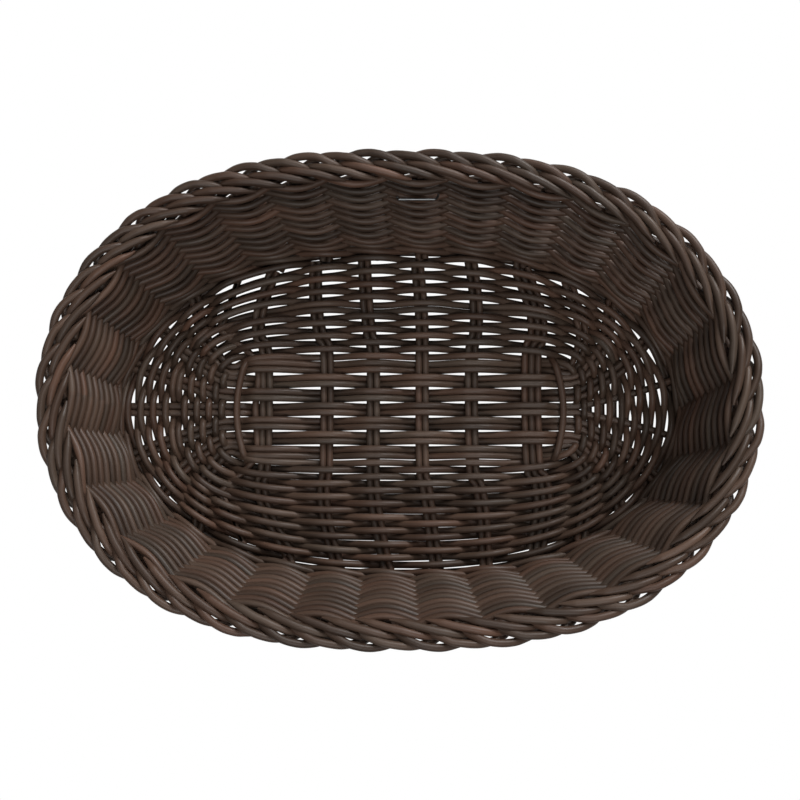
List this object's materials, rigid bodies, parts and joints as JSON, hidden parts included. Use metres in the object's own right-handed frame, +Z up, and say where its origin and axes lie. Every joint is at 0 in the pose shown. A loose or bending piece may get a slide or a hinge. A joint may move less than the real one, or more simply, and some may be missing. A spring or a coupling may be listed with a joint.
{
  "type": "bread basket",
  "caption": "Oval open basket woven from round brown plastic strands over paired stakes, with a flaring side and a rolled border, for serving bread.",
  "frame": {"origin": "middle of the basket's outline, on the table that the foot ring stands on", "axes": "+X along the length, +Y across the width, +Z up out of the opening"},
  "size_m": [0.3, 0.208, 0.07],
  "materials": {
    "base_sticks": "satin, dark brown, fine lengthwise streaks",
    "base_weave": "satin, dark brown with red-brown and grey-brown strands",
    "stakes": "satin, dark brown",
    "side_weave": "satin, brown with red-brown strands",
    "border": "satin, grey-brown and red-brown strands",
    "clip_wire": "dull grey wire"
  },
  "bodies": {
    "root": {"base_long_pair_1": "base_sticks", "base_long_pair_2": "base_sticks", "base_long_pair_3": "base_sticks", "base_long_pair_4": "base_sticks", "base_long_pair_5": "base_sticks", "base_long_pair_6": "base_sticks", "base_long_pair_7": "base_sticks", "base_short_group_1": "base_sticks", "base_short_group_2": "base_sticks", "base_short_group_3": "base_sticks", "base_short_group_4": "base_sticks", "base_short_group_5": "base_sticks", "base_short_group_6": "base_sticks", "base_corner_stick_near": "base_sticks", "base_corner_stick_far": "base_sticks", "end_bow_left": "base_weave", "end_bow_right": "base_weave", "base_row_1": "base_weave", "base_row_2": "base_weave", "base_row_3": "base_weave", "base_row_4": "base_weave", "foot_ring": "base_weave", "stake_01": "stakes", "stake_02": "stakes", "stake_03": "stakes", "stake_04": "stakes", "stake_05": "stakes", "stake_06": "stakes", "stake_07": "stakes", "stake_08": "stakes", "stake_09": "stakes", "stake_10": "stakes", "stake_11": "stakes", "stake_12": "stakes", "stake_13": "stakes", "stake_14": "stakes", "stake_15": "stakes", "stake_16": "stakes", "stake_17": "stakes", "stake_18": "stakes", "stake_19": "stakes", "stake_20": "stakes", "stake_21": "stakes", "stake_22": "stakes", "stake_23": "stakes", "stake_24": "stakes", "stake_25": "stakes", "stake_26": "stakes", "stake_27": "stakes", "stake_28": "stakes", "stake_29": "stakes", "side_row_1": "side_weave", "side_row_2": "side_weave", "side_row_3": "side_weave", "side_row_4": "side_weave", "side_row_5": "side_weave", "side_row_6": "side_weave", "border_outer_roll": "border", "border_inner_plait": "border", "wire_clip": "clip_wire"}
  },
  "joints": []
}
